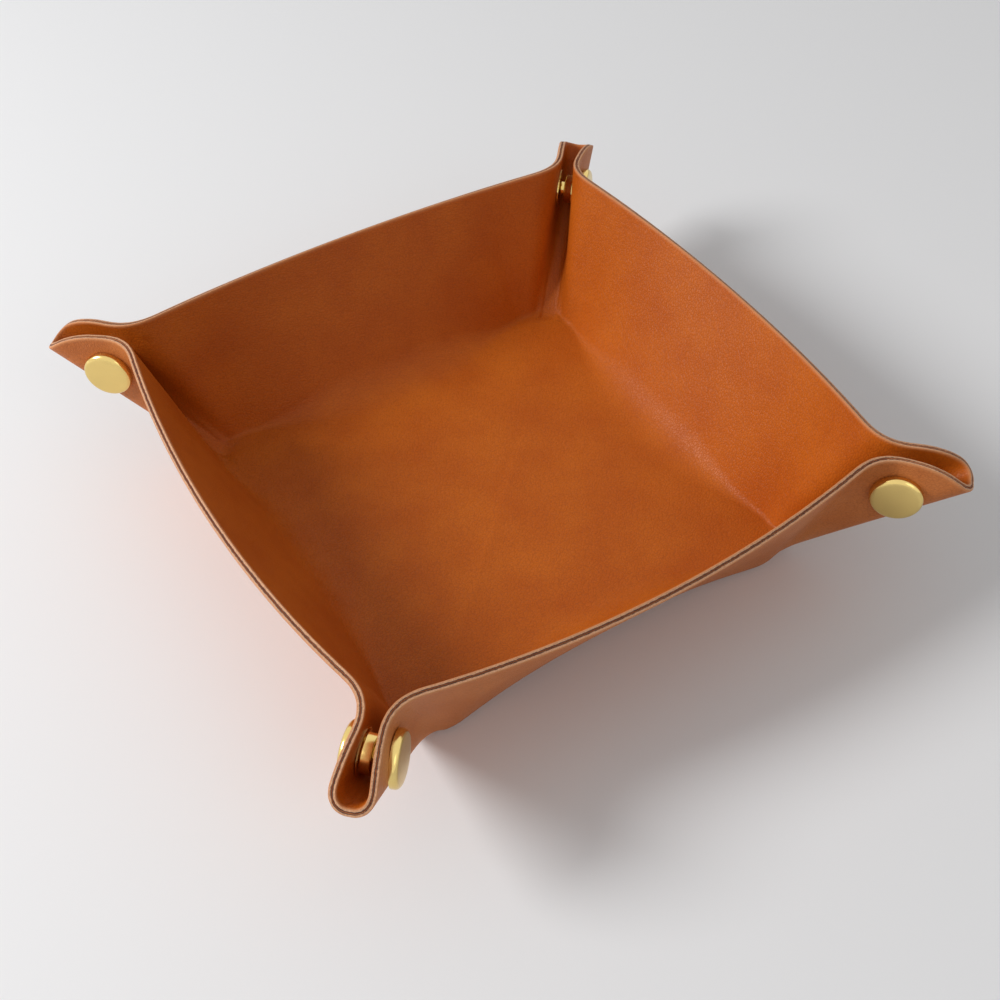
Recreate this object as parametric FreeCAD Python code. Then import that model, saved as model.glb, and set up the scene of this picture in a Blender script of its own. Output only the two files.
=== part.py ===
import FreeCAD, Part
import math
import os
from FreeCAD import Rotation, Vector

# A square two-ply leather sheet whose corners are pinched into ears by snap fasteners.
# The floor's middle is the origin, +Z is up, and the walls face +-X and +-Y.

# Sheet, laid flat
ply_thickness = 0.75
glue_thickness = 0.06
sheet_half = 80.0
sheet_corner_radius = 19.5

# Shape that the snaps pull the sheet into, taken at the bond between the plies
rim_height = 31.5
rim_bow_radius = 250.0
wall_lean = 72.7
rim_rise = 18.6
floor_half = 46.3
floor_bow = 3.4
floor_corner_radius = 9.0

# Soft folds. A reach is how far a fold runs from the line where floor and wall would meet.
fold_reach_mid = 7.0
fold_reach_corner = 1.5
fold_share_mid = 0.5
outer_share_corner = 0.6
inner_share_corner = 0.8
fold_tightening = 26.0
ear_length = 26.4
neck_half = 6.9
loop_length = 10.5
crease_length = 11.0
crease_squeeze = 0.4
crease_start = 2.0
fold_clearance = 0.25
spine_clearance = 0.3
spine_clearance_at_foot = 2.2
loop_foot = 4.0
drawn_back_at_most = 4.5

# Snap fasteners, placed from the sheet's corner and edge
snap_from_corner = 19.5
snap_from_edge = 8.8
cap_radius = 5.2
cap_height = 1.6
cap_shoulder = 1.0
cap_swing_clearance = 0.6
rivet_radius = 1.1
rivet_clearance = 0.05
leather_hole_clearance = 0.2
seat_clearance = 0.05
seat_depth = 2.0
flange_radius = 4.4
flange_thickness = 0.5
socket_radius = 3.6
socket_height = 2.5
socket_bore_radius = 2.1
spring_wire_radius = 0.22
spring_grip_clearance = 0.15
spring_groove_clearance = 0.1
spring_below_head = 0.25
stud_head_radius = 1.85
stud_neck_radius = 1.6
stud_end_clearance = 0.3

# Fineness of the walk along the rim
walk_steps = 320

bond_height = ply_thickness
neck = sheet_half - ear_length
loop_start = sheet_half - loop_length
across_diagonal = Vector(1, -1, 0).normalize()


def smooth_step(value):
    share = min(1.0, max(0.0, value))
    return share * share * (3 - 2 * share)


def easing_in(value):
    """Starts gently and ends at an even pace, so that the loop's tip is round."""
    share = min(1.0, max(0.0, value))
    return share * share * (2 - share)


def root(function, low, high):
    """Halve the span until it closes on the function's change of sign."""
    at_low = function(low)
    for _ in range(60):
        middle = (low + high) / 2
        if function(middle) * at_low > 0:
            low = middle
        else:
            high = middle
    return (low + high) / 2


# The rim walk: a frame of three axes that travels from mid wall to the corner's tip
along = Vector(1, 0, 0)
upward = Vector(0, math.cos(math.radians(wall_lean)), math.sin(math.radians(wall_lean)))
inward = along.cross(upward)
rise = math.radians(rim_rise)
neck_axis = along * math.sin(rise) + upward * math.cos(rise)
loop_axis = (along + upward).normalize()


def rim_rotation(u, neck_turn, loop_turn):
    bow = Rotation(upward, -math.degrees(min(u, neck) / rim_bow_radius))
    at_neck = Rotation(neck_axis, neck_turn * smooth_step((u - neck + neck_half) / (2 * neck_half)))
    at_loop = Rotation(loop_axis, -loop_turn * easing_in((u - loop_start) / loop_length))
    return bow.multiply(at_neck).multiply(at_loop)


def off_diagonal(vector):
    return vector.dot(across_diagonal)


neck_turn = root(lambda turn: off_diagonal(rim_rotation(loop_start, turn, 0).multVec(loop_axis)), 10, 100)
loop_turn = root(lambda turn: off_diagonal(rim_rotation(sheet_half, neck_turn, turn).multVec(inward)), 50, 130)


def walk_rim():
    """Points of the untrimmed rim from mid wall to the tip, which ends on the corner's diagonal."""
    step = sheet_half / walk_steps
    points = [Vector(0, 0, rim_height)]
    before = rim_rotation(0, neck_turn, loop_turn).multVec(along)
    for i in range(1, walk_steps + 1):
        after = rim_rotation(i * step, neck_turn, loop_turn).multVec(along)
        points.append(points[-1] + (before + after) * (step / 2))
        before = after
    shift = Vector(0, points[-1].x - points[-1].y, 0)
    return [point + shift for point in points]


rim_points = walk_rim()


def rim_point(u):
    place = u / sheet_half * walk_steps
    i = min(int(place), walk_steps - 1)
    return rim_points[i] + (rim_points[i + 1] - rim_points[i]) * (place - i)


# Floor outline: each side bows inward as a parabola, then an arc rounds the corner
corner_centre = floor_half - floor_corner_radius
bow_end = corner_centre
for _ in range(20):
    bow_angle = math.atan(2 * floor_bow / bow_end)
    bow_end = corner_centre - floor_corner_radius * math.sin(bow_angle)
bow_start_y = corner_centre + floor_corner_radius * math.cos(bow_angle) - floor_bow


def base_direction(u):
    """Outward direction of the floor's outline at the foot of the ruling at u."""
    if u <= bow_end:
        angle = -math.atan(2 * floor_bow * u / bow_end**2)
    else:
        angle = -bow_angle + (bow_angle + math.pi / 4) * (u - bow_end) / (sheet_half - bow_end)
    return Vector(math.sin(angle), math.cos(angle), 0)


def base_point(u):
    if u <= bow_end:
        return Vector(u, bow_start_y + floor_bow * (u / bow_end) ** 2, bond_height)
    return Vector(corner_centre, corner_centre, bond_height) + base_direction(u) * floor_corner_radius


def corner_share(u):
    """How far towards the tip the sheet's rounded corner cuts the ruling at u."""
    run = Vector(u - floor_half, sheet_half - floor_half, 0)
    if u <= floor_half:
        return 1.0
    centre = sheet_half - sheet_corner_radius - floor_half
    back = Vector(-centre, -centre, 0)
    a = run.dot(run)
    b = run.dot(back)
    c = back.dot(back) - sheet_corner_radius**2
    inside = b * b - a * c
    if inside < 0:
        return 1.0
    share = (-b + math.sqrt(inside)) / a
    if u * share + floor_half * (1 - share) < sheet_half - sheet_corner_radius:
        return 1.0
    return min(1.0, share)


def towards_corner(u):
    return smooth_step((u - bow_end + fold_tightening) / fold_tightening)


def fold_reach(u):
    return fold_reach_mid + (fold_reach_corner - fold_reach_mid) * towards_corner(u)


def fold_share(u, high):
    corner = inner_share_corner if high > 0 else outer_share_corner
    return fold_share_mid + (corner - fold_share_mid) * towards_corner(u)


def bond_point(u, s):
    """Point of the bond surface: s runs 0 to 1 round the fold and 1 to 2 up to the edge."""
    if u < 0:
        mirrored = bond_point(-u, s)
        return Vector(-mirrored.x, mirrored.y, mirrored.z)
    if u > sheet_half:
        mirrored = bond_point(2 * sheet_half - u, s)
        return Vector(mirrored.y, mirrored.x, mirrored.z)
    base = base_point(u)
    ruling = rim_point(u) - base
    edge = base + ruling * corner_share(u)
    reach = fold_reach(u)
    leave = base + ruling * (reach / ruling.Length)
    if s >= 1:
        return leave + (edge - leave) * (s - 1)
    start = base - base_direction(u) * reach
    return start * (1 - s) ** 2 + base * (2 * s * (1 - s)) + leave * s**2


def along_u(u, s):
    return (bond_point(u + 0.3, s) - bond_point(u - 0.3, s)) / 0.6


def inner_normal(u, s):
    """Square to the ruling from s = 1 up, and turned evenly to upright round the fold."""
    ruling = bond_point(u, 2) - bond_point(u, 1)
    panel_normal = along_u(u, 1.5).cross(ruling).normalize()
    turn = min(s, 1.0)
    return (Vector(0, 0, 1) * (1 - turn) + panel_normal * turn).normalize()


def sheet_point(u, s, offset):
    return bond_point(u, s) + inner_normal(u, s) * offset


def spread(start, end, count):
    return [start + (end - start) * i / (count - 1) for i in range(count)]


def fold_stop(u, shift, high):
    """Where a panel ends inside the fold: shift is measured along the sheet."""
    share = fold_share(min(abs(u), 2 * sheet_half - u), high)
    run = bond_point(u, share + 0.01) - bond_point(u, share - 0.01)
    return share + shift * 0.02 / run.Length


def skin(rows, level_start=False):
    """Surface through rows of points: two rows give straight rulings, three give a bend."""
    parameters = [i / (len(rows[0]) - 1) for i in range(len(rows[0]))]
    curves = []
    for row in rows:
        spline = Part.BSplineCurve()
        spline.interpolate(Points=row, Parameters=parameters)
        curves.append(spline)
    poles = [spline.getPoles() for spline in curves]
    if len(rows) == 3:
        poles[1] = [m * 2 - (a + b) * 0.5 for a, m, b in zip(*poles)]
    if level_start:
        poles[1] = [Vector(m.x, m.y, a.z) for a, m in zip(poles[0], poles[1])]
    surface = Part.BSplineSurface()
    degree = len(rows) - 1
    across = [degree + 1, degree + 1]
    surface.buildFromPolesMultsKnots(
        [list(column) for column in zip(*poles)],
        curves[0].getMultiplicities(),
        across,
        curves[0].getKnots(),
        [0.0, 1.0],
        False,
        False,
        curves[0].Degree,
        degree,
    )
    return surface


def bridge(one, other):
    return Part.makeRuledSurface(one.toShape(), other.toShape())


def close_shell(faces):
    """Sew faces that share their edges into one solid."""
    sewn = Part.makeCompound(faces)
    sewn.sewShape()
    solid = Part.Solid(Part.Shell(sewn.Faces))
    if solid.Volume < 0:
        solid.reverse()
    return solid


def drawn_back(rulings, first_shift, last_shift):
    """Rulings moved closer together evenly, so that the outermost draw back by the shifts."""
    first = rulings[0]
    span = rulings[-1] - first
    scale = 1 - (first_shift + last_shift) / span
    return [first + first_shift + (u - first) * scale for u in rulings]


def panel(rulings, low, high, levels, end_gap_at_foot=fold_clearance / 2, end_gap=fold_clearance / 2):
    """A ply between two rulings. Each level holds its place along them and its share of the offset."""
    places = [[] for u in rulings]
    for level in range(len(levels(rulings[0], high))):
        row = [levels(u, high)[level] for u in rulings]
        gap = end_gap + (end_gap_at_foot - end_gap) * max(0.0, 2 - row[-1][0])
        first_shift = fold_clearance / 2 / along_u(rulings[0], row[0][0]).Length
        last_shift = gap / along_u(rulings[-1], row[-1][0]).Length
        for i, u in enumerate(drawn_back(rulings, first_shift, min(last_shift, drawn_back_at_most))):
            places[i].append((u, row[i][0], row[i][1]))
    count = len(places[0])
    strips = [(0, 1, 2), (2, 3)] if count == 4 else [(j, j + 1) for j in range(count - 1)]
    faces = []
    for strip in strips:
        skins = []
        for offset in (low, high):
            skins.append(skin([[sheet_point(row[j][0], row[j][1], offset * row[j][2]) for row in places] for j in strip]))
        under, over = skins
        faces += [under.toShape(), over.toShape()]
        faces += [bridge(under.uIso(end), over.uIso(end)) for end in (0, 1)]
        if strip is strips[0]:
            faces.append(bridge(under.vIso(0), over.vIso(0)))
        if strip is strips[-1]:
            faces.append(bridge(under.vIso(1), over.vIso(1)))
    return close_shell(faces)


def wall_levels(u, high):
    stop = fold_stop(u, fold_clearance / 2, high)
    return [(stop, 1.0), ((stop + 1) / 2, 1.0), (1.0, 1.0), (2.0, 1.0)]


def ear_levels(u, high):
    """The inner ply starts above the crease at the foot of the pinched corner."""
    start = crease_start if high > 0 else 0.0
    return [(1.0 + start / straight_length(u), 1.0), (2.0, 1.0)]


def loop_levels(u, high):
    """The inner ply is squeezed thin in the crease, where the loop closes up."""
    start = 1.0 + loop_foot / straight_length(u)
    if high <= 0:
        return [(start, 1.0), (2.0, 1.0)]
    return [(start, crease_squeeze), (start + crease_length / straight_length(u), 1.0), (2.0, 1.0)]


def straight_length(u):
    return (bond_point(u, 2) - bond_point(u, 1)).Length


def wall_panel(low, high):
    bend = spread(neck - neck_half, neck, 4)
    middle = spread(-bend[0], bend[0], 12)
    rulings = [-u for u in reversed(bend)][:-1] + middle + bend[1:]
    return panel(rulings, low, high, wall_levels)


def ear_panel(low, high):
    return panel(spread(neck, loop_start, 7), low, high, ear_levels)


def loop_panel(low, high):
    rulings = spread(loop_start, sheet_half, 7)
    return panel(rulings, low, high, loop_levels, spine_clearance_at_foot / 2, spine_clearance / 2)


def base_panel(low, high):
    """The floor with its lips turned up as far as the folds' middle."""
    faces = []
    rims = {low: [], high: []}
    side = spread(-bow_end, bow_end, 17)
    corner = spread(bow_end, 2 * sheet_half - bow_end, 17)
    for rulings in (side, corner):
        skins = []
        for offset in (low, high):
            rows = []
            for share in (0.0, 0.5, 1.0):
                rows.append([sheet_point(u, fold_stop(u, -fold_clearance / 2, high) * share, offset) for u in rulings])
            skins.append(skin(rows, True))
        under, over = skins
        lip = [under.toShape(), over.toShape(), bridge(under.vIso(1), over.vIso(1))]
        for turn in range(4):
            faces += [face.rotated(Vector(), Vector(0, 0, 1), -90 * turn) for face in lip]
            for offset, surface in zip((low, high), skins):
                rims[offset].append(surface.vIso(0).toShape().rotated(Vector(), Vector(0, 0, 1), -90 * turn))
    for edges in rims.values():
        faces.append(Part.Face(Part.Wire(Part.__sortEdges__(edges))))
    return close_shell(faces)


# Snap parts, turned about the axis through the leather, with 0 at the bond and + inward

def turned(outline):
    """Revolve an outline of radius and height pairs."""
    edges = []
    points = [Vector(radius, 0, height) for radius, height in outline]
    for start, end in zip(points, points[1:] + points[:1]):
        edges.append(Part.LineSegment(start, end).toShape())
    return Part.Face(Part.Wire(edges)).revolve(Vector(), Vector(0, 0, 1), 360)


def snap_cap():
    """Flat round cap with a rounded shoulder, and the rivet that passes through the leather."""
    seat = -ply_thickness - seat_clearance
    top = seat - cap_height
    shoulder_start = Vector(cap_radius, 0, top + cap_shoulder)
    shoulder_end = Vector(cap_radius - cap_shoulder, 0, top)
    slope = math.sqrt(0.5)
    shoulder_middle = Vector(cap_radius - cap_shoulder * (1 - slope), 0, top + cap_shoulder * (1 - slope))
    rivet_end = ply_thickness + flange_thickness
    corners = [
        Vector(0, 0, rivet_end),
        Vector(rivet_radius, 0, rivet_end),
        Vector(rivet_radius, 0, seat),
        Vector(cap_radius, 0, seat),
        shoulder_start,
    ]
    edges = [Part.LineSegment(a, b).toShape() for a, b in zip(corners, corners[1:])]
    edges.append(Part.Arc(shoulder_start, shoulder_middle, shoulder_end).toShape())
    edges.append(Part.LineSegment(shoulder_end, Vector(0, 0, top)).toShape())
    edges.append(Part.LineSegment(Vector(0, 0, top), corners[0]).toShape())
    return Part.Face(Part.Wire(edges)).revolve(Vector(), Vector(0, 0, 1), 360)


def snap_span():
    """Distance between the bonds of the two pinched halves where the snap joins them."""
    return 2 * abs(off_diagonal(snap_place().Base))


def spring_ring_radius():
    return stud_neck_radius + spring_grip_clearance + spring_wire_radius


def spring_height():
    """The ring grips the stud's neck, just short of its head."""
    head = 4 * (stud_head_radius - stud_neck_radius)
    return ply_thickness + flange_thickness + stud_end_clearance + head + spring_below_head


def snap_socket():
    seat = ply_thickness + seat_clearance
    rim = ply_thickness + socket_height
    groove_radius = stud_head_radius + 2 * spring_wire_radius + spring_groove_clearance
    groove_half = spring_wire_radius + spring_groove_clearance
    bore = rivet_radius + rivet_clearance
    return turned([
        (bore, seat),
        (flange_radius, seat),
        (flange_radius, ply_thickness + flange_thickness),
        (socket_radius, ply_thickness + flange_thickness),
        (socket_radius, rim),
        (socket_bore_radius, rim),
        (socket_bore_radius, spring_height() + groove_half),
        (groove_radius, spring_height() + groove_half),
        (groove_radius, spring_height() - groove_half),
        (socket_bore_radius, spring_height() - groove_half),
        (socket_bore_radius, ply_thickness + flange_thickness),
        (bore, ply_thickness + flange_thickness),
    ])


def snap_spring():
    """Ring of round wire in the socket's groove, wide enough to clear the stud's neck."""
    return Part.makeTorus(spring_ring_radius(), spring_wire_radius, Vector(0, 0, spring_height()))


def snap_stud():
    """The stud reaches across the gap between the halves, almost to the socket's floor."""
    seat = ply_thickness + seat_clearance
    rim = ply_thickness + flange_thickness
    top = snap_span() - rim - stud_end_clearance
    bore = rivet_radius + rivet_clearance
    head = stud_head_radius - stud_neck_radius
    return turned([
        (bore, seat),
        (flange_radius, seat),
        (flange_radius, rim),
        (stud_neck_radius, rim),
        (stud_neck_radius, top - 4 * head),
        (stud_head_radius, top - 3 * head),
        (stud_head_radius, top - head),
        (stud_neck_radius, top),
        (0, top),
        (0, rim),
        (bore, rim),
    ])


def snap_ruling():
    """The ruling that passes through the snap, and how far up it the snap sits."""
    u = sheet_half - snap_from_corner
    v = sheet_half - snap_from_edge
    share = (v - floor_half) / (sheet_half - floor_half)
    return floor_half + (u - floor_half) / share, share


def snap_place():
    """Placement of the snap's axis on the ear of the +Y wall at its +X end."""
    u, share = snap_ruling()
    base = base_point(u)
    centre = base + (rim_point(u) - base) * share
    before, after = [base_point(v) + (rim_point(v) - base_point(v)) * share for v in (u - cap_radius, u + cap_radius)]
    across_leather = (after - before).cross(rim_point(u) - base)
    return FreeCAD.Placement(centre, Rotation(Vector(0, 0, 1), across_leather))


def on_ear(shape):
    shape.Placement = snap_place()
    return shape


def pressed_by_snap(leather):
    """The rivet's hole, and the shallow seats that the cap and the flanges press into the leather."""
    reach = ply_thickness + seat_depth
    hole = Part.makeCylinder(rivet_radius + leather_hole_clearance, 2 * reach, Vector(0, 0, -reach))
    inner_seat = Part.makeCylinder(flange_radius + seat_clearance, seat_depth, Vector(0, 0, ply_thickness))
    outer_seat = Part.makeCylinder(cap_radius + seat_clearance, seat_depth, Vector(0, 0, -reach))
    for cutter in (hole, inner_seat, outer_seat):
        leather = leather.cut(on_ear(cutter))
    return leather


def cleared_round_cap(leather):
    """The loop's foot is notched under the cap, so that it can swing past the cap's rim."""
    reach = ply_thickness + seat_depth
    deep = reach + ply_thickness + cap_swing_clearance
    notch = Part.makeCylinder(cap_radius + cap_swing_clearance, deep, Vector(0, 0, -reach))
    return pressed_by_snap(leather).cut(on_ear(notch))


# Walls by number are +Y, -X, -Y and +X. A corner has its wall's number, at the wall's far end.
walls = ["north", "west", "south", "east"]
corners = ["northeast", "northwest", "southwest", "southeast"]
upright = Vector(0, 0, 1)


def placed(shape, number, mirrored=False):
    if mirrored:
        shape = shape.mirror(Vector(), Vector(1, 0, 0))
    return shape.rotated(Vector(), upright, 90 * number)


def export(name, shape):
    shape.exportStep("parts/" + name + ".step")
    print(name, len(shape.Solids), round(shape.Volume, 1), shape.isValid())


def build():
    os.makedirs("parts", exist_ok=True)
    plies = {"outer": (-ply_thickness, -glue_thickness / 2), "inner": (glue_thickness / 2, ply_thickness)}
    for ply, (low, high) in plies.items():
        export("base_" + ply, base_panel(low, high))
        wall = wall_panel(low, high)
        ear = pressed_by_snap(ear_panel(low, high))
        for number, name in enumerate(walls):
            export(name + "_wall_" + ply, placed(wall, number))
            before = walls[number - 1]
            export(corners[number] + "_ear_" + name + "_" + ply, placed(ear, number))
            export(corners[number] + "_ear_" + before + "_" + ply, placed(ear, number - 1, True))
    loop = Part.makeCompound([cleared_round_cap(loop_panel(*ply)) for ply in plies.values()])
    cap = on_ear(snap_cap())
    for number, corner in enumerate(corners):
        name = walls[number]
        before = walls[number - 1]
        export(corner + "_loop_" + name, placed(loop, number))
        export(corner + "_loop_" + before, placed(loop, number - 1, True))
        export(corner + "_cap_" + name, placed(cap, number))
        export(corner + "_cap_" + before, placed(cap, number - 1, True))
        export(corner + "_stud", placed(on_ear(snap_stud()), number))
        export(corner + "_socket", placed(on_ear(snap_socket()), number - 1, True))
        export(corner + "_spring", placed(on_ear(snap_spring()), number - 1, True))


build()
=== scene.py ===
import math
import bpy
from mathutils import Matrix, Vector, noise


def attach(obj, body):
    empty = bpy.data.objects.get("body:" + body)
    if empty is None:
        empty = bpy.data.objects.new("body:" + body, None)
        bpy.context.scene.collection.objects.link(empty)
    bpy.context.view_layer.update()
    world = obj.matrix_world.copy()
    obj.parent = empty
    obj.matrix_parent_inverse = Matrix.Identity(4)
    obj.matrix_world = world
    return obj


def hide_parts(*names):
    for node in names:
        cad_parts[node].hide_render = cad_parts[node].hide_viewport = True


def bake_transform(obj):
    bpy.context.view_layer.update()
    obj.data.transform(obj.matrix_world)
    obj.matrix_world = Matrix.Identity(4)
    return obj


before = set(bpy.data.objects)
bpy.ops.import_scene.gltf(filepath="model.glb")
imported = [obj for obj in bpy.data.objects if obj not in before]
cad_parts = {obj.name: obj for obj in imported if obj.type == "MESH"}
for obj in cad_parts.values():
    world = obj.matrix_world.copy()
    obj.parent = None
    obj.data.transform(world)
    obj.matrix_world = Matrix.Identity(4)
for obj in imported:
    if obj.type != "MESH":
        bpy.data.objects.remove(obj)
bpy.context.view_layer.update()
print("frame loaded")

mm = 0.001
wallNames = ["north", "west", "south", "east"]
cornerNames = ["northeast", "northwest", "southwest", "southeast"]

# The sheet and the shape its snaps pull it into, in millimetres and degrees
sheet = {
    "ply": 0.75,
    "half": 80.0,
    "cornerRadius": 19.5,
    "rimHeight": 31.5,
    "rimBow": 250.0,
    "lean": 72.7,
    "rise": 18.6,
    "floorHalf": 46.3,
    "floorBow": 3.4,
    "floorCorner": 9.0,
    "reachMid": 7.0,
    "reachCorner": 1.5,
    "tightening": 26.0,
    "neck": 53.6,
    "neckHalf": 6.9,
    "loopStart": 69.5,
    "loopLength": 10.5,
    "walkSteps": 320,
}


# Shape of the folded sheet

def smoothStep(value):
    share = min(1.0, max(0.0, value))
    return share * share * (3 - 2 * share)


def easingIn(value):
    share = min(1.0, max(0.0, value))
    return share * share * (2 - share)


def halve(function, low, high, rounds=44):
    atLow = function(low)
    for _ in range(rounds):
        middle = (low + high) / 2
        if function(middle) * atLow > 0:
            low = middle
        else:
            high = middle
    return (low + high) / 2


def turn(axis, degrees):
    return Matrix.Rotation(math.radians(degrees), 3, axis)


along = Vector((1, 0, 0))
upward = Vector((0, math.cos(math.radians(sheet["lean"])), math.sin(math.radians(sheet["lean"]))))
inward = along.cross(upward)
rise = math.radians(sheet["rise"])
neckAxis = along * math.sin(rise) + upward * math.cos(rise)
loopAxis = (along + upward).normalized()
acrossDiagonal = Vector((1, -1, 0)).normalized()


def rimTurn(u, neckTurn, loopTurn):
    bow = turn(upward, -math.degrees(min(u, sheet["neck"]) / sheet["rimBow"]))
    neckShare = smoothStep((u - sheet["neck"] + sheet["neckHalf"]) / (2 * sheet["neckHalf"]))
    loopShare = easingIn((u - sheet["loopStart"]) / sheet["loopLength"])
    return bow @ turn(neckAxis, neckTurn * neckShare) @ turn(loopAxis, -loopTurn * loopShare)


neckTurn = halve(lambda t: acrossDiagonal.dot(rimTurn(sheet["loopStart"], t, 0) @ loopAxis), 10, 100)
loopTurn = halve(lambda t: acrossDiagonal.dot(rimTurn(sheet["half"], neckTurn, t) @ inward), 50, 130)


def walkRim():
    step = sheet["half"] / sheet["walkSteps"]
    points = [Vector((0, 0, sheet["rimHeight"]))]
    before = rimTurn(0, neckTurn, loopTurn) @ along
    for i in range(1, sheet["walkSteps"] + 1):
        after = rimTurn(i * step, neckTurn, loopTurn) @ along
        points.append(points[-1] + (before + after) * (step / 2))
        before = after
    shift = Vector((0, points[-1].x - points[-1].y, 0))
    return [point + shift for point in points]


rimPoints = walkRim()
cornerCentre = sheet["floorHalf"] - sheet["floorCorner"]
bowEnd = cornerCentre
for _ in range(20):
    bowAngle = math.atan(2 * sheet["floorBow"] / bowEnd)
    bowEnd = cornerCentre - sheet["floorCorner"] * math.sin(bowAngle)
bowStart = cornerCentre + sheet["floorCorner"] * math.cos(bowAngle) - sheet["floorBow"]


def rimPoint(u):
    place = u / sheet["half"] * sheet["walkSteps"]
    i = min(int(place), sheet["walkSteps"] - 1)
    return rimPoints[i].lerp(rimPoints[i + 1], place - i)


def footDirection(u):
    if u <= bowEnd:
        angle = -math.atan(2 * sheet["floorBow"] * u / bowEnd**2)
    else:
        angle = -bowAngle + (bowAngle + math.pi / 4) * (u - bowEnd) / (sheet["half"] - bowEnd)
    return Vector((math.sin(angle), math.cos(angle), 0))


def footPoint(u):
    if u <= bowEnd:
        return Vector((u, bowStart + sheet["floorBow"] * (u / bowEnd) ** 2, sheet["ply"]))
    return Vector((cornerCentre, cornerCentre, sheet["ply"])) + footDirection(u) * sheet["floorCorner"]


def cornerShare(u):
    if u <= sheet["floorHalf"]:
        return 1.0
    run = Vector((u - sheet["floorHalf"], sheet["half"] - sheet["floorHalf"], 0))
    centre = sheet["half"] - sheet["cornerRadius"] - sheet["floorHalf"]
    back = Vector((-centre, -centre, 0))
    a, b, c = run.dot(run), run.dot(back), back.dot(back) - sheet["cornerRadius"] ** 2
    inside = b * b - a * c
    if inside < 0:
        return 1.0
    share = (-b + math.sqrt(inside)) / a
    if u * share + sheet["floorHalf"] * (1 - share) < sheet["half"] - sheet["cornerRadius"]:
        return 1.0
    return min(1.0, share)


rulingStore = {}


def ruling(u):
    # start, foot, leave and edge of the sheet's straight line at u, folded and laid flat
    key = round(u, 6)
    if key not in rulingStore:
        tight = smoothStep((u - bowEnd + sheet["tightening"]) / sheet["tightening"])
        reach = sheet["reachMid"] + (sheet["reachCorner"] - sheet["reachMid"]) * tight
        foot = footPoint(u)
        start = foot - footDirection(u) * reach
        lines = []
        for rim in (rimPoint(u), Vector((u, sheet["half"], sheet["ply"]))):
            run = rim - foot
            share = reach / (rimPoint(u) - foot).length
            lines.append((start, foot, foot + run * share, foot + run * cornerShare(u)))
        rulingStore[key] = lines
    return rulingStore[key]


def bondPoint(u, s, flat=False):
    # s is below 0 on the floor, 0 to 1 round the fold, and 1 to 2 up to the cut edge
    if u < 0:
        mirrored = bondPoint(-u, s, flat)
        return Vector((-mirrored.x, mirrored.y, mirrored.z))
    if u > sheet["half"]:
        mirrored = bondPoint(2 * sheet["half"] - u, s, flat)
        return Vector((mirrored.y, mirrored.x, mirrored.z))
    start, foot, leave, edge = ruling(u)[1 if flat else 0]
    if s >= 1:
        return leave + (edge - leave) * (s - 1)
    if s <= 0:
        return start + (foot - start) * (2 * s)
    return start * (1 - s) ** 2 + foot * (2 * s * (1 - s)) + leave * s**2


normalStore = {}


def panelNormal(u):
    key = round(u, 6)
    if key not in normalStore:
        straight = bondPoint(u, 2) - bondPoint(u, 1)
        across = bondPoint(u + 0.3, 1.5) - bondPoint(u - 0.3, 1.5)
        normalStore[key] = across.cross(straight).normalized()
    return normalStore[key]


def innerNormal(u, s):
    share = min(max(s, 0.0), 1.0)
    return (Vector((0, 0, 1)) * (1 - share) + panelNormal(u) * share).normalized()


def sheetPoint(u, s, offset):
    return bondPoint(u, s) + innerNormal(u, s) * offset


# Seams between the moving pieces, as planes that cut the sheet

seams = {
    "neckBand": 1.25,
    "wallFoot": 42.4,
    "wallFootHalf": 43.5,
    "wallFoldStart": 43.2,
    "wallFoldEnd": 47.6,
    "earFoot": 0.5,
    "loopRim": 68.2,
    "loopBand": 2.2,
}


def seamPlane(pointA, pointB, facing):
    # a point and a direction square to the line through both points, within the sheet
    line = (pointB - pointA).normalized()
    return pointA, line.cross(facing).normalized()


neckPoint, neckAcross = seamPlane(
    bondPoint(sheet["neck"], 1), bondPoint(sheet["neck"], 2), panelNormal(sheet["neck"])
)
if neckAcross.x < 0:
    neckAcross = -neckAcross


def neckReach(u, s):
    return (bondPoint(u, s) - neckPoint).dot(neckAcross)


spineTop = halve(lambda s: neckReach(sheet["half"], s) - seams["neckBand"] - 0.1, 1.0, 1.9)
loopFoot = bondPoint(sheet["half"], spineTop)
loopPoint, loopAcross = seamPlane(loopFoot, bondPoint(seams["loopRim"], 2), panelNormal(seams["loopRim"]))
if loopAcross.dot(bondPoint(sheet["half"], 2) - loopPoint) < 0:
    loopAcross = -loopAcross

cutStore = {}


def wallCut(s):
    s = max(s, seams["earFoot"])
    key = ("wall", round(s, 6))
    if key not in cutStore:
        cutStore[key] = halve(lambda u: neckReach(u, s) + seams["neckBand"], 38, sheet["half"])
    return cutStore[key]


def loopCut(s):
    if s <= spineTop:
        return sheet["half"]
    key = ("loop", round(s, 6))
    if key not in cutStore:
        cutStore[key] = halve(lambda u: (bondPoint(u, s) - loopPoint).dot(loopAcross), 60, sheet["half"])
    return cutStore[key]


def spread(count, border=0.004):
    # even shares of a run, with a narrow border at both ends that keeps the shading true there
    inner = [border + (1 - 2 * border) * i / (count - 3) for i in range(count - 2)]
    return [0.0] + inner + [1.0]


edgeRows = [0.6, 0.3, 0.14, 0.05, 0.0]
wallColumns = [2 * share - 1 for share in spread(111)]
wallRows = spread(46, 0.006)[:-1]
earColumns = spread(53)
loopColumns = spread(31, 0.01)


def rowPlaces(first, u, shares):
    # places up a ruling: shares of the way, then close rows that round the cut edge
    length = (bondPoint(u, 2) - bondPoint(u, 1)).length
    last = 2 - 0.9 / length
    return [first + (last - first) * share for share in shares] + [2 - row / length for row in edgeRows]


footStore = {}


def wallFootPlace(u):
    key = round(abs(u), 6)
    if key not in footStore:
        footStore[key] = halve(lambda s: bondPoint(abs(u), s).y - seams["wallFoot"], -3, 1)
    return footStore[key]


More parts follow.
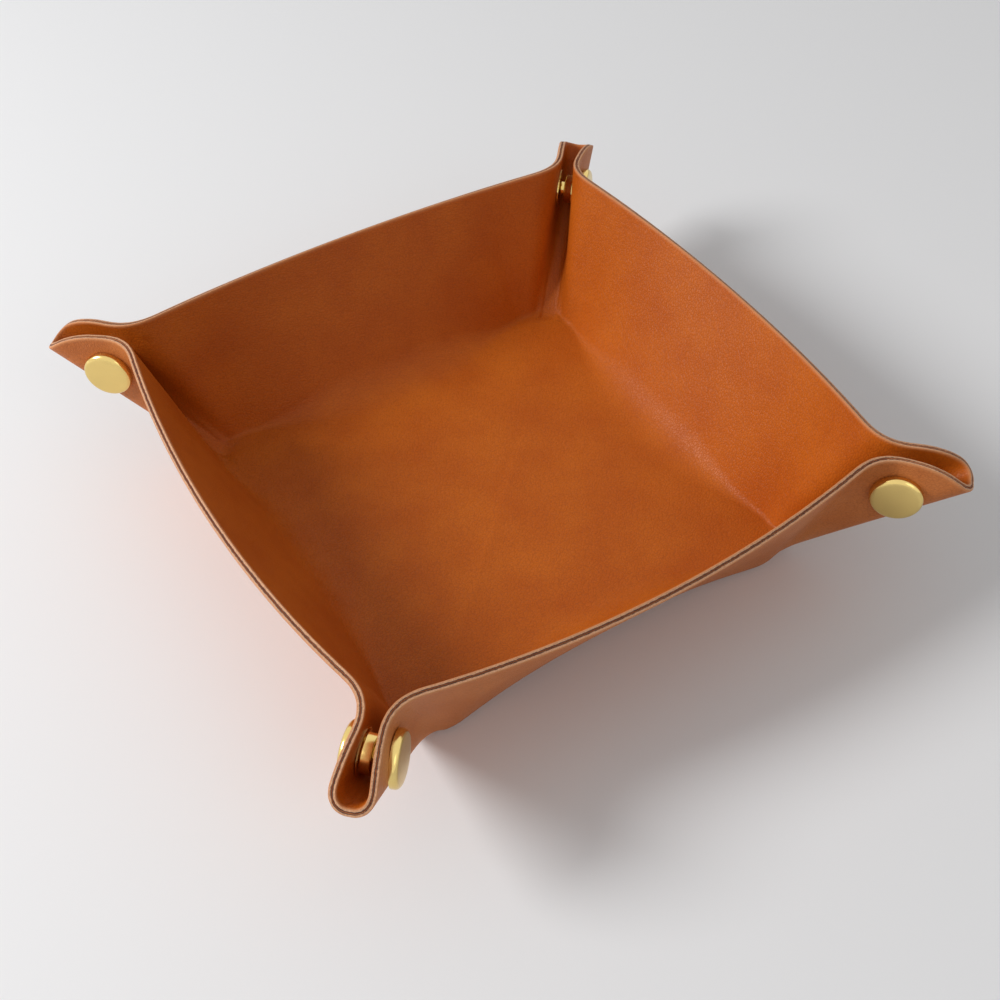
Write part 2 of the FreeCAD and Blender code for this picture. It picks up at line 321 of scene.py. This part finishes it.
def wallPlace(column, row):
    rough = wallColumns[column] * seams["wallFootHalf"]
    s = rowPlaces(wallFootPlace(rough), rough, wallRows)[row]
    return wallColumns[column] * wallCut(s), s


# rows lie closest just above the spine's top, where the loop's seam starts across the sheet
loopSteps, earSteps = 30, 24
loopRows = rowPlaces(spineTop, 70, [(i / loopSteps) ** 2 for i in range(loopSteps + 1)])
earRise = spineTop - seams["earFoot"]
earRows = [seams["earFoot"] + earRise * i / earSteps for i in range(earSteps)] + loopRows


def earPlace(column, row):
    s = earRows[row]
    left, right = wallCut(s), loopCut(s)
    return left + (right - left) * earColumns[column], s


def loopPlace(column, row):
    s = loopRows[row]
    left = loopCut(s)
    return left + (sheet["half"] - left) * loopColumns[column], s


# One ply of a panel

plies = {"outer": (-sheet["ply"], 0.0), "inner": (0.0, sheet["ply"])}
cutForm = {
    "rounding": 0.16,
    "roundReach": 0.3,
    "wander": 0.05,
    "wanderReach": 0.6,
    "groove": 0.05,
    "grooveWander": 0.09,
    "grooveReach": 0.25,
}
farFromEdge = 20.0
crease = {"from": 64.5, "to": 72.5, "foot": 2.0, "top": 15.0, "least": 0.35}


def plyOffset(u, s, offset, fromEdge, place):
    # the cut edge is rounded and wanders, and the inner ply is squeezed in the crease
    wander = noise.noise(Vector((place.x * 0.9, place.y * 0.9, 0))) * cutForm["wander"]
    if offset == 0:
        return 0.0
    size = abs(offset)
    size -= cutForm["rounding"] * (1 - min(1.0, fromEdge / cutForm["roundReach"])) ** 2
    size += wander * (1 - min(1.0, fromEdge / cutForm["wanderReach"]))
    if offset > 0:
        up = (s - 1) * 40
        tight = smoothStep((u - crease["from"]) / (crease["to"] - crease["from"]))
        low = 1 - smoothStep((up - crease["foot"]) / (crease["top"] - crease["foot"]))
        size *= 1 - (1 - crease["least"]) * tight * low
    return math.copysign(size, offset)


def bondOffset(side, fromEdge, place):
    # the bond opens into a shallow, uneven groove at the cut edge
    wander = 0.5 + 0.5 * noise.noise(Vector((place.x * 1.7, place.y * 1.7, 3.0)))
    depth = cutForm["groove"] + cutForm["grooveWander"] * wander
    groove = depth * (1 - min(1.0, fromEdge / cutForm["grooveReach"]))
    return side * groove


def deselectAll():
    if bpy.context.object and bpy.context.object.mode != "OBJECT":
        bpy.ops.object.mode_set(mode="OBJECT")
    bpy.ops.object.select_all(action="DESELECT")


def finishMesh(angle=40):
    # works on the mesh that was made last
    bpy.ops.object.mode_set(mode="EDIT")
    bpy.ops.mesh.select_all(action="SELECT")
    bpy.ops.mesh.remove_doubles(threshold=0.0000005)
    bpy.ops.mesh.normals_make_consistent(inside=False)
    bpy.ops.object.mode_set(mode="OBJECT")
    bpy.ops.object.shade_smooth_by_angle(angle=math.radians(angle))


def setPlaces(piece, flats, edges):
    mesh = piece.data
    mesh.attributes.new("sheetPlace", "FLOAT_VECTOR", "POINT")
    mesh.attributes.new("fromEdge", "FLOAT", "POINT")
    mesh.attributes["sheetPlace"].data.foreach_set("vector", [c for flat in flats for c in flat])
    mesh.attributes["fromEdge"].data.foreach_set("value", edges)


def layPly(u, s, offset, side):
    # the point of one face of a ply, where it lies flat, and how far it is from the cut edge
    flat = bondPoint(u, s, True)
    leave, edge = ruling(min(abs(u), sheet["half"]))[0][2:]
    fromEdge = (2 - s) * (edge - leave).length if s >= 1 else farFromEdge
    if offset == 0:
        place = bondOffset(side, fromEdge, flat)
    else:
        place = plyOffset(abs(u), s, offset, fromEdge, flat)
    return sheetPoint(u, s, place) * mm, Vector((flat.x, flat.y, place)), fromEdge


def makePanel(name, ply, columns, rows, placeOf):
    deselectAll()
    bpy.ops.mesh.primitive_grid_add(x_subdivisions=columns - 1, y_subdivisions=rows - 1, size=1)
    piece = bpy.context.object
    piece.name = name
    piece.data.name = name
    bpy.ops.object.mode_set(mode="EDIT")
    bpy.ops.mesh.select_all(action="SELECT")
    bpy.ops.mesh.extrude_region_move(TRANSFORM_OT_translate={"value": (0, 0, 1)})
    bpy.ops.object.mode_set(mode="OBJECT")
    low, high = plies[ply]
    flats, edges, topRow = [], [], set()
    for vertex in piece.data.vertices:
        column = round((vertex.co.x + 0.5) * (columns - 1))
        row = round((vertex.co.y + 0.5) * (rows - 1))
        u, s = placeOf(column, row)
        offset = high if vertex.co.z > 0.5 else low
        vertex.co, flat, fromEdge = layPly(u, s, offset, 1 if ply == "inner" else -1)
        flats.append(flat)
        edges.append(fromEdge)
        if row == rows - 1:
            topRow.add(vertex.index)
    setPlaces(piece, flats, edges)
    for polygon in piece.data.polygons:
        polygon.material_index = 1 if all(i in topRow for i in polygon.vertices) else 0
    finishMesh()
    return piece


def halfPlacement(wallNumber, mirrored):
    flip = Matrix.Scale(-1, 4, (1, 0, 0)) if mirrored else Matrix.Identity(4)
    return Matrix.Rotation(math.radians(90 * wallNumber), 4, "Z") @ flip


def copyTo(source, name, wallNumber, mirrored=False):
    # a copy with its own mesh, carried to another wall or turned into its mirror image
    piece = source.copy()
    piece.data = source.data.copy()
    piece.name = name
    piece.data.name = name
    bpy.context.collection.objects.link(piece)
    move = halfPlacement(wallNumber, mirrored)
    piece.data.transform(move)
    if mirrored:
        piece.data.flip_normals()
    places = piece.data.attributes.get("sheetPlace")
    if places:
        turned = [c for item in places.data for c in move @ item.vector]
        places.data.foreach_set("vector", turned)
    return piece


def remove(piece):
    bpy.data.objects.remove(piece, do_unlink=True)


def bendBetween(piece):
    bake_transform(piece)


# Materials. The leather's patterns follow the sheet as it lies flat, in millimetres.

def newMaterial(name):
    material = bpy.data.materials.new(name)
    material.use_nodes = True
    tree = material.node_tree
    return material, tree, tree.nodes["Principled BSDF"]


def addNode(tree, kind, inputs=None, **settings):
    node = tree.nodes.new(kind)
    for key, value in settings.items():
        setattr(node, key, value)
    for key, value in (inputs or {}).items():
        if isinstance(value, bpy.types.NodeSocket):
            tree.links.new(value, node.inputs[key])
        else:
            node.inputs[key].default_value = value
    return node


def numberMath(tree, operation, inputs):
    return addNode(tree, "ShaderNodeMath", inputs, operation=operation).outputs[0]


def vectorMath(tree, operation, inputs):
    return addNode(tree, "ShaderNodeVectorMath", inputs, operation=operation).outputs[0]


def addNoise(tree, place, scale, detail):
    return addNode(tree, "ShaderNodeTexNoise", {"Vector": place, "Scale": scale, "Detail": detail})


def readAttribute(tree, name, output):
    return addNode(tree, "ShaderNodeAttribute", attribute_name=name).outputs[output]


def spreadOver(tree, value, low, high):
    return addNode(tree, "ShaderNodeMapRange", {"Value": value, "To Min": low, "To Max": high}).outputs[0]


def addBump(tree, shader, height, strength, depth):
    bump = addNode(tree, "ShaderNodeBump", {"Height": height, "Strength": strength, "Distance": depth * mm})
    tree.links.new(bump.outputs["Normal"], shader.inputs["Normal"])


def ramp(tree, source, stops):
    # stops are pairs of a place and a level between black and white
    node = addNode(tree, "ShaderNodeValToRGB", {"Fac": source})
    elements = node.color_ramp.elements
    while len(elements) < len(stops):
        elements.new(0.5)
    for element, (place, level) in zip(elements, stops):
        element.position = place
        element.color = (level, level, level, 1)
    return node.outputs["Color"]


def linear(red, green, blue):
    channels = [c / 255 for c in (red, green, blue)]
    return tuple(c / 12.92 if c <= 0.04045 else ((c + 0.055) / 1.055) ** 2.4 for c in channels)


def mixColour(tree, share, first, second):
    node = addNode(tree, "ShaderNodeMix", data_type="RGBA", blend_type="MIX")
    for socket, value in ((node.inputs[0], share), (node.inputs[6], first), (node.inputs[7], second)):
        if isinstance(value, bpy.types.NodeSocket):
            tree.links.new(value, socket)
        else:
            socket.default_value = (*value, 1) if isinstance(value, tuple) and len(value) == 3 else value
    return node.outputs[2]


black = (0, 0, 0)
innerTone = {"tan": linear(192, 98, 22), "deep": linear(180, 86, 16), "roughness": 0.4}
outerTone = {"tan": linear(196, 118, 62), "deep": linear(184, 104, 50), "roughness": 0.44}
leather = {
    "valley": linear(104, 40, 6),
    "worn": linear(206, 140, 92),
    "grainSize": 0.62,
    "grainStretch": (1.25, 0.7, 1.0),
    "grainDepth": 0.055,
    "wobble": 0.9,
    "valleyShare": 0.28,
    "fleckShare": 0.25,
    "wornEdge": 0.9,
    "sheen": 0.2,
}


def grainPattern(tree, place):
    # rounded pebbles, longer along the sheet's Y, with soft valleys between them
    wobble = addNoise(tree, place, 0.9, 2.0).outputs["Color"]
    shift = vectorMath(tree, "SUBTRACT", {0: wobble, 1: (0.5, 0.5, 0.5)})
    pushed = vectorMath(tree, "SCALE", {0: shift, "Scale": leather["wobble"]})
    stretched = vectorMath(tree, "MULTIPLY", {0: place, 1: leather["grainStretch"]})
    bent = vectorMath(tree, "ADD", {0: stretched, 1: pushed})
    inputs = {"Vector": bent, "Scale": 1 / leather["grainSize"]}
    cells = addNode(tree, "ShaderNodeTexVoronoi", inputs, feature="DISTANCE_TO_EDGE").outputs["Distance"]
    return ramp(tree, cells, [(0.0, 0.0), (0.12, 0.62), (0.38, 1.0)])


def leatherMaterial(name, tone):
    material, tree, shader = newMaterial(name)
    place = readAttribute(tree, "sheetPlace", "Vector")
    edge = readAttribute(tree, "fromEdge", "Fac")
    pebble = grainPattern(tree, place)
    fine = addNoise(tree, place, 5.0, 3.0).outputs["Fac"]
    broad = addNoise(tree, place, 0.07, 3.0).outputs["Fac"]
    mottled = mixColour(tree, ramp(tree, broad, [(0.32, 0), (0.68, 1)]), tone["deep"], tone["tan"])
    valleys = ramp(tree, pebble, [(0.0, 1), (0.55, 0)])
    grained = mixColour(tree, valleys, mottled, leather["valley"])
    soft = mixColour(tree, leather["valleyShare"], mottled, grained)
    flecks = mixColour(tree, leather["fleckShare"], black, ramp(tree, fine, [(0.70, 0), (0.78, 1)]))
    flecked = mixColour(tree, flecks, soft, leather["worn"])
    share = numberMath(tree, "DIVIDE", {0: edge, 1: leather["wornEdge"]})
    wear = ramp(tree, share, [(0.0, 0.85), (0.6, 0.2), (1.0, 0)])
    tree.links.new(mixColour(tree, wear, flecked, leather["worn"]), shader.inputs["Base Color"])
    gloss = spreadOver(tree, fine, tone["roughness"] - 0.08, tone["roughness"] + 0.14)
    tree.links.new(gloss, shader.inputs["Roughness"])
    height = numberMath(tree, "MULTIPLY_ADD", {0: fine, 1: 0.35, 2: pebble})
    addBump(tree, shader, height, 0.8, leather["grainDepth"])
    shader.inputs["Specular IOR Level"].default_value = leather["sheen"]
    return material


cutEdge = {
    "fibre": linear(218, 168, 128),
    "fibreDark": linear(186, 130, 92),
    "bond": linear(58, 28, 16),
    "bondWander": 0.34,
    "roughness": 0.72,
    "fibreDepth": 0.08,
}


def cutEdgeMaterial():
    # pale fibres either side of a dark, ragged bond line
    material, tree, shader = newMaterial("cutEdge")
    place = readAttribute(tree, "sheetPlace", "Vector")
    apart = addNode(tree, "ShaderNodeSeparateXYZ", {0: place}).outputs["Z"]
    away = numberMath(tree, "ABSOLUTE", {0: apart})
    ragged = addNoise(tree, place, 1.6, 4.0).outputs["Fac"]
    shifted = numberMath(tree, "MULTIPLY_ADD", {0: ragged, 1: -cutEdge["bondWander"], 2: away})
    onLine = ramp(tree, shifted, [(0.0, 1), (0.03, 1), (0.12, 0)])
    fibres = addNoise(tree, place, 3.5, 5.0).outputs["Fac"]
    pale = ramp(tree, fibres, [(0.35, 0), (0.7, 1)])
    body = mixColour(tree, pale, cutEdge["fibreDark"], cutEdge["fibre"])
    tree.links.new(mixColour(tree, onLine, body, cutEdge["bond"]), shader.inputs["Base Color"])
    addBump(tree, shader, fibres, 0.6, cutEdge["fibreDepth"])
    shader.inputs["Roughness"].default_value = cutEdge["roughness"]
    return material


def metalMaterial(name, colour, roughness, scratch):
    material, tree, shader = newMaterial(name)
    place = addNode(tree, "ShaderNodeTexCoord").outputs["Object"]
    marks = addNoise(tree, place, 900.0, 4.0).outputs["Fac"]
    tree.links.new(spreadOver(tree, marks, roughness * 0.7, roughness * 1.5), shader.inputs["Roughness"])
    broad = addNoise(tree, place, 160.0, 2.0).outputs["Fac"]
    dull = tuple(c * 0.82 for c in colour)
    tree.links.new(mixColour(tree, broad, colour, dull), shader.inputs["Base Color"])
    addBump(tree, shader, marks, scratch, 0.01)
    shader.inputs["Metallic"].default_value = 1.0
    return material


innerLeather = leatherMaterial("innerLeather", innerTone)
outerLeather = leatherMaterial("outerLeather", outerTone)
edgeFibre = cutEdgeMaterial()
gold = metalMaterial("gold", linear(240, 210, 132), 0.17, 0.2)
springSteel = metalMaterial("springSteel", linear(190, 188, 184), 0.3, 0.2)
print("materials made")


def dress(piece, *materials):
    for material in materials:
        piece.data.materials.append(material)
    return piece


# Walls, ears and loops of one wall, then their copies

def leatherFor(ply):
    return innerLeather if ply == "inner" else outerLeather


panels = {}
for ply in plies:
    wallRowCount = len(wallRows) + len(edgeRows)
    panels["wall", ply] = makePanel("wall" + ply, ply, len(wallColumns), wallRowCount, wallPlace)
    panels["ear", ply] = makePanel("ear" + ply, ply, len(earColumns), len(earRows), earPlace)
    panels["loop", ply] = makePanel("loop" + ply, ply, len(loopColumns), len(loopRows), loopPlace)
    for form in ("wall", "ear", "loop"):
        dress(panels[form, ply], leatherFor(ply), edgeFibre)
print("panels shaped")

plyLabels = {"outer": "Outer", "inner": "Inner"}

for number, wall in enumerate(wallNames):
    for ply, label in plyLabels.items():
        piece = copyTo(panels["wall", ply], wall + "Wall" + label, number)
        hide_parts(wall + "_wall_" + ply)
        bendBetween(piece)

for cornerNumber, corner in enumerate(cornerNames):
    for mirrored in (False, True):
        number = (cornerNumber - 1) % 4 if mirrored else cornerNumber
        wall = wallNames[number]
        half = corner + wall.capitalize()
        earBody, loopBody = corner + "_ear_" + wall, corner + "_loop_" + wall
        for ply, label in plyLabels.items():
            piece = copyTo(panels["ear", ply], half + "Ear" + label, number, mirrored)
            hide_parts(earBody + "_" + ply)
            bendBetween(piece)
        for ply, label in plyLabels.items():
            piece = copyTo(panels["loop", ply], half + "Loop" + label, number, mirrored)
            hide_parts(loopBody)
            bendBetween(piece)
for piece in panels.values():
    remove(piece)
print("walls, ears and loops placed")


# Floor, with its rim turned up as far as the walls' feet

floor = {"lipRows": [0.25, 0.5, 0.7, 0.85, 0.94, 1.0], "stepRows": 6}


def floorOutline():
    # places round one wall's share of the floor's rim, from one corner's diagonal to the next
    rightHalf = [earPlace(column, 0) for column in range(len(earColumns))]
    wallFoot = [wallPlace(column, 0) for column in range(len(wallColumns))]
    low = wallFoot[-1][1]
    step = [low + (seams["earFoot"] - low) * i / floor["stepRows"] for i in range(1, floor["stepRows"])]
    side = [(wallCut(s), s) for s in step] + rightHalf
    left = [(-u, s) for u, s in reversed(side)]
    return (left + wallFoot + side)[:-1]


def makeFloor(ply):
    deselectAll()
    outline = floorOutline()
    count = 4 * len(outline)
    bpy.ops.mesh.primitive_circle_add(vertices=count, radius=1, fill_type="NGON")
    piece = bpy.context.object
    bpy.ops.object.mode_set(mode="EDIT")
    bpy.ops.mesh.select_mode(type="EDGE")
    for ring in range(len(floor["lipRows"])):
        bpy.ops.mesh.select_all(action="DESELECT")
        bpy.ops.mesh.select_non_manifold(extend=False)
        bpy.ops.mesh.extrude_edges_move()
        wider = (ring + 2) / (ring + 1)
        bpy.ops.transform.resize(value=(wider, wider, 1))
    bpy.ops.mesh.select_mode(type="VERT")
    bpy.ops.mesh.select_all(action="SELECT")
    bpy.ops.mesh.extrude_region_move(TRANSFORM_OT_translate={"value": (0, 0, 1)})
    bpy.ops.object.mode_set(mode="OBJECT")
    low, high = plies[ply]
    flats, edges = [], []
    for vertex in piece.data.vertices:
        place = round(math.atan2(vertex.co.y, vertex.co.x) / (2 * math.pi) * count) % count
        ring = round(math.hypot(vertex.co.x, vertex.co.y)) - 1
        number, item = divmod(place, len(outline))
        u, top = outline[item]
        inside = min(top, 0.0)
        s = inside + (top - inside) * ([0.0] + floor["lipRows"])[ring]
        offset = high if vertex.co.z > 0.5 else low
        spot, flat, fromEdge = layPly(u, s, offset, 1 if ply == "inner" else -1)
        turned = halfPlacement(4 - number, False)
        vertex.co = turned @ spot
        flats.append(turned @ flat)
        edges.append(farFromEdge)
    setPlaces(piece, flats, edges)
    finishMesh()
    return piece


for ply, label in plyLabels.items():
    piece = makeFloor(ply)
    piece.name = "floor" + label
    piece.data.name = piece.name
    dress(piece, leatherFor(ply))
    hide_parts("base_" + ply)
    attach(piece, "base")
print("floor placed")


# Snap fasteners

snap = {
    "fromCorner": 19.5,
    "fromEdge": 8.8,
    "seat": 0.05,
    "capRadius": 5.2,
    "capHeight": 1.6,
    "capShoulder": 1.0,
    "shoulderSteps": 10,
    "rivet": 1.1,
    "pressed": 0.15,
    "stub": 1.15,
    "flangeRadius": 4.4,
    "flange": 0.5,
    "socketRadius": 3.6,
    "socketHeight": 2.5,
    "bore": 2.1,
    "neck": 1.6,
    "head": 1.85,
    "endGap": 0.3,
    "wire": 0.22,
    "segments": 72,
}


def snapCentre():
    u = sheet["half"] - snap["fromCorner"]
    share = (sheet["half"] - snap["fromEdge"] - sheet["floorHalf"]) / (sheet["half"] - sheet["floorHalf"])
    return sheet["floorHalf"] + (u - sheet["floorHalf"]) / share, share


def upRuling(u, share):
    return footPoint(u).lerp(rimPoint(u), share)


def snapPlacement():
    u, share = snapCentre()
    across = upRuling(u + snap["capRadius"], share) - upRuling(u - snap["capRadius"], share)
    facing = across.cross(rimPoint(u) - footPoint(u)).to_track_quat("Z", "Y").to_matrix().to_4x4()
    return Matrix.Translation(upRuling(u, share) * mm) @ facing


snapSpan = 2 * abs(acrossDiagonal.dot(upRuling(*snapCentre())))
studTop = snapSpan - sheet["ply"] - snap["flange"] - snap["endGap"]


def turnedPiece(name, outline):
    # a solid of revolution, drawn up step by step from the disc at the outline's first place
    deselectAll()
    radius, height = outline[0]
    bpy.ops.mesh.primitive_circle_add(
        vertices=snap["segments"], radius=radius, fill_type="NGON", location=(0, 0, height)
    )
    piece = bpy.context.object
    piece.name = name
    bpy.ops.object.mode_set(mode="EDIT")
    bpy.ops.mesh.select_all(action="SELECT")
    for nextRadius, nextHeight in outline[1:]:
        bpy.ops.mesh.extrude_region_move(TRANSFORM_OT_translate={"value": (0, 0, nextHeight - height)})
        scale = nextRadius / radius
        bpy.ops.transform.resize(value=(scale, scale, 1))
        radius, height = nextRadius, nextHeight
    bpy.ops.mesh.select_all(action="SELECT")
    bpy.ops.mesh.normals_make_consistent(inside=False)
    bpy.ops.object.mode_set(mode="OBJECT")
    bpy.ops.object.transform_apply(location=True, rotation=True, scale=True)
    bpy.ops.object.shade_smooth_by_angle(angle=math.radians(50))
    piece.data.transform(Matrix.Scale(mm, 4))
    return piece


def capOutline():
    # a rivet stub in the leather, a rolled rim, a rounded shoulder and a faintly domed top
    seat = -sheet["ply"] - snap["seat"]
    top = seat - snap["capHeight"]
    wide, shoulder = snap["capRadius"], snap["capShoulder"]
    rivet, pressed = snap["rivet"], snap["pressed"]
    outline = [(rivet, 0.2), (rivet, seat + pressed + 0.01), (wide - 0.2, seat + pressed)]
    outline += [(wide, seat + 0.05), (wide, seat - 0.3)]
    steps = snap["shoulderSteps"]
    for i in range(steps + 1):
        angle = math.radians(90 * i / steps)
        rounding = (shoulder - 0.1) * (1 - math.sin(angle))
        outline.append((wide - shoulder * (1 - math.cos(angle)), top + 0.1 + rounding))
    outline += [(3.2, top + 0.055), (2.2, top + 0.025), (rivet, top + 0.005), (0.3, top)]
    return outline


def flangeOutline():
    # a stub through the inner ply and the flange that presses on the leather
    base, rim = sheet["ply"], sheet["ply"] + snap["flange"]
    stub, wide = snap["stub"], snap["flangeRadius"]
    return [
        (stub, 0.1), (stub, base + snap["seat"]), (wide - 0.15, base + snap["seat"]),
        (wide, base + 0.14), (wide, rim - 0.1), (wide - 0.12, rim),
    ]


def socketOutline():
    rim, top = sheet["ply"] + snap["flange"], sheet["ply"] + snap["socketHeight"]
    wide, bore = snap["socketRadius"], snap["bore"]
    return flangeOutline() + [
        (wide + 0.15, rim + 0.02), (wide, rim + 0.2), (wide, top - 0.3), (wide - 0.18, top - 0.06),
        (wide - 0.5, top), (bore + 0.35, top), (bore + 0.1, top - 0.08), (bore, top - 0.25), (bore, rim),
        (0.4, rim),
    ]


def studOutline():
    rim, neck, head = sheet["ply"] + snap["flange"], snap["neck"], snap["head"]
    return flangeOutline() + [
        (neck + 0.5, rim + 0.02), (neck + 0.1, rim + 0.12), (neck, rim + 0.35), (neck, studTop - 1.0),
        (neck + 0.1, studTop - 0.88), (head, studTop - 0.7), (head, studTop - 0.3),
        (head - 0.12, studTop - 0.1), (neck - 0.1, studTop), (0.3, studTop),
    ]


def springRing():
    deselectAll()
    height = sheet["ply"] + snap["flange"] + snap["endGap"] + 4 * (snap["head"] - snap["neck"]) + 0.25
    bpy.ops.mesh.primitive_torus_add(
        major_radius=snap["neck"] + 0.15 + snap["wire"], minor_radius=snap["wire"],
        major_segments=snap["segments"], minor_segments=14, location=(0, 0, height),
    )
    piece = bpy.context.object
    bpy.ops.object.transform_apply(location=True, rotation=True, scale=True)
    bpy.ops.object.shade_smooth()
    piece.data.transform(Matrix.Scale(mm, 4))
    return piece


snapParts = {
    "cap": turnedPiece("cap", capOutline()),
    "stud": turnedPiece("stud", studOutline()),
    "socket": turnedPiece("socket", socketOutline()),
    "spring": springRing(),
}
for part, piece in snapParts.items():
    piece.data.transform(snapPlacement())
    dress(piece, springSteel if part == "spring" else gold)

for cornerNumber, corner in enumerate(cornerNames):
    for mirrored in (False, True):
        number = (cornerNumber - 1) % 4 if mirrored else cornerNumber
        wall = wallNames[number]
        kinds = ("cap", "socket", "spring") if mirrored else ("cap", "stud")
        for kind in kinds:
            node = corner + "_" + kind + ("_" + wall if kind == "cap" else "")
            name = corner + kind.capitalize() + (wall.capitalize() if kind == "cap" else "")
            piece = copyTo(snapParts[kind], name, number, mirrored)
            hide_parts(node)
            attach(piece, corner + "_ear_" + wall)
for piece in snapParts.values():
    remove(piece)
print("snaps placed")


# Surroundings

studio = {
    "ground": linear(238, 238, 239),
    "fillLight": 0.4,
    "cameraPlace": (0.1815355, -0.1077476, 0.2290822),
    "cameraTurn": (42.5719, 0.5757, 58.1331),
    "lens": 51.339,
}

bpy.ops.object.select_all(action="DESELECT")
bpy.ops.mesh.primitive_plane_add(size=6, location=(0, 0, -0.0003))
ground = bpy.context.object
ground.name = "ground"
groundMaterial, groundTree, groundShader = newMaterial("ground")
groundShader.inputs["Base Color"].default_value = (*studio["ground"], 1)
groundShader.inputs["Roughness"].default_value = 0.8
dress(ground, groundMaterial)

world = bpy.data.worlds.new("studio")
bpy.context.scene.world = world
world.use_nodes = True
worldTree = world.node_tree
background = worldTree.nodes["Background"]
background.inputs["Color"].default_value = (1.0, 1.0, 1.0, 1)
rays = addNode(worldTree, "ShaderNodeLightPath")
direct, glossy = rays.outputs["Is Camera Ray"], rays.outputs["Is Glossy Ray"]
seen = numberMath(worldTree, "MAXIMUM", {0: direct, 1: glossy})
brightness = spreadOver(worldTree, seen, studio["fillLight"], 1.0)
worldTree.links.new(brightness, background.inputs["Strength"])


def addLamp(name, place, aim, size, power):
    lamp = bpy.data.lights.new(name, "AREA")
    lamp.shape = "DISK"
    lamp.size = size
    lamp.energy = power
    holder = bpy.data.objects.new(name, lamp)
    bpy.context.collection.objects.link(holder)
    holder.location = place
    holder.rotation_euler = (Vector(aim) - Vector(place)).to_track_quat("-Z", "Y").to_euler()


addLamp("keyLamp", (-0.32, -0.66, 0.5), (0, 0, 0), 0.32, 6.0)
addLamp("sideLamp", (1.0, 0.1, 0.8), (0, 0, 0.02), 0.7, 1.0)

camera = bpy.data.cameras.new("camera")
camera.lens = studio["lens"]
camera.sensor_width = 36
camera.clip_start = 0.01
cameraHolder = bpy.data.objects.new("camera", camera)
bpy.context.collection.objects.link(cameraHolder)
cameraHolder.location = studio["cameraPlace"]
cameraHolder.rotation_euler = [math.radians(a) for a in studio["cameraTurn"]]
bpy.context.scene.camera = cameraHolder
bpy.context.scene.view_settings.view_transform = "Standard"
